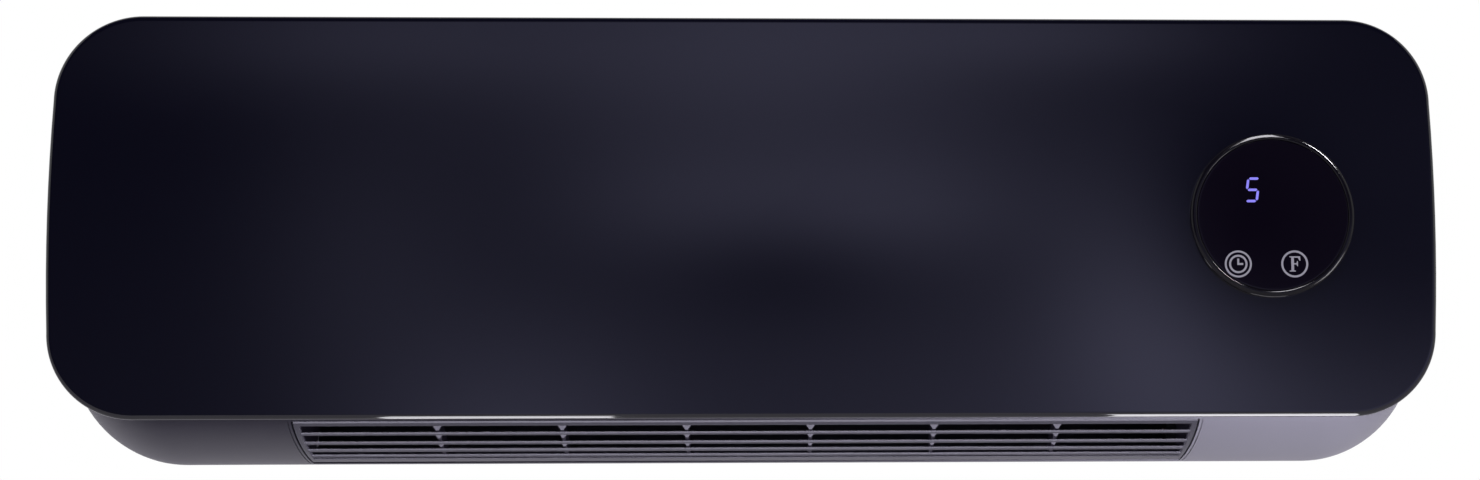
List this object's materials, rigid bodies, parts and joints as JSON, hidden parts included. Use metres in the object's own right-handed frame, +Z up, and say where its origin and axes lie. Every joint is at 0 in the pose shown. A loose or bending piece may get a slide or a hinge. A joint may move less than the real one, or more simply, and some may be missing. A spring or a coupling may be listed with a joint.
{
  "type": "wall fan heater with glass front",
  "caption": "Wall-hung fan heater with a black glass front, a round touch control disc and a swinging air outlet along its underside.",
  "frame": {"origin": "middle of the flat back of the rear housing, on the wall plane", "axes": "+X to the right as seen from the room, +Y from the room into the wall, +Z up"},
  "size_m": [0.56, 0.115, 0.185],
  "materials": {
    "black_glass": "polished black tempered glass, printed on its back",
    "pad_black": "foam bonding pad",
    "shell_plastic": "fine satin texture, dark grey",
    "gloss_black": "gloss black",
    "lens_black": "smoked clear lens, gloss",
    "inner_plastic": "black moulding",
    "board_green": "solder mask",
    "spring_metal": "plated spring wire",
    "nylon": "black nylon",
    "steel": "zinc plated",
    "fan_plastic": "glass-filled plastic",
    "motor_paint": "lacquered motor can",
    "rubber": "black rubber",
    "bronze": "sintered bronze or brass",
    "sheet_steel": "galvanised sheet",
    "fin_metal": "mill finish",
    "heat_plastic": "heat-proof moulding",
    "filter_mesh": "dust mesh in a thin frame",
    "wire_red": "insulated leads"
  },
  "bodies": {
    "housing": {"glass_panel": "black_glass", "glass_pads": "pad_black", "front_shell": "shell_plastic", "rear_housing": "shell_plastic", "disc_bezel": "gloss_black", "disc_lens": "lens_black", "disc_nut": "inner_plastic", "display_board": "board_green", "digit_display": "inner_plastic", "touch_springs": "spring_metal", "infrared_receiver": "lens_black", "swing_motor": "steel", "fan_motor": "motor_paint", "motor_dampers": "rubber", "bearing_bush": "bronze", "bearing_rubber": "rubber", "air_guide_back": "sheet_steel", "air_guide_front": "sheet_steel", "end_plate_left": "sheet_steel", "end_plate_right": "sheet_steel", "heater_tubes": "fin_metal", "heater_fins": "fin_metal", "heater_rails": "fin_metal", "heater_end_left": "heat_plastic", "heater_end_right": "heat_plastic", "heater_terminals": "bronze", "thermal_cutout": "steel", "thermal_fuse": "steel", "intake_grille": "shell_plastic", "intake_filter": "filter_mesh", "room_sensor": "inner_plastic", "power_board": "board_green", "board_parts": "inner_plastic", "board_posts": "inner_plastic", "switch_housing": "gloss_black", "switch_tabs": "bronze", "terminal_block": "heat_plastic", "cable_grommet": "rubber", "housing_screws": "steel", "small_screws": "steel", "wiring": "wire_red"},
    "louvre": {"outlet_louvre": "shell_plastic", "louvre_sector": "nylon"},
    "pinion": {"swing_pinion": "nylon", "swing_shaft": "steel"},
    "fan": {"fan_rotor": "fan_plastic", "stub_shaft": "steel", "motor_shaft": "steel"},
    "rocker": {"switch_rocker": "gloss_black"}
  },
  "joints": [
    {"name": "louvre_swing", "type": "hinge", "parent": "housing", "child": "louvre", "pos_m": [0, -0.0627, -0.08865], "axis": [1, 0, 0], "range_deg": [0, 28]},
    {"name": "pinion_spin", "type": "hinge", "parent": "housing", "child": "pinion", "pos_m": [0.1768, -0.05853, -0.06502], "axis": [1, 0, 0], "range_deg": [-56, 0]},
    {"name": "fan_spin", "type": "hinge", "parent": "housing", "child": "fan", "pos_m": [0, -0.04798, 0.01], "axis": [1, 0, 0], "continuous": true},
    {"name": "power_rocker", "type": "hinge", "parent": "housing", "child": "rocker", "pos_m": [0.27077, -0.028, -0.026], "axis": [0, 1, 0], "range_deg": [-14, 0]}
  ],
  "couplings": [
    {"joint": "pinion_spin", "follows": "louvre_swing", "ratio": -2}
  ]
}
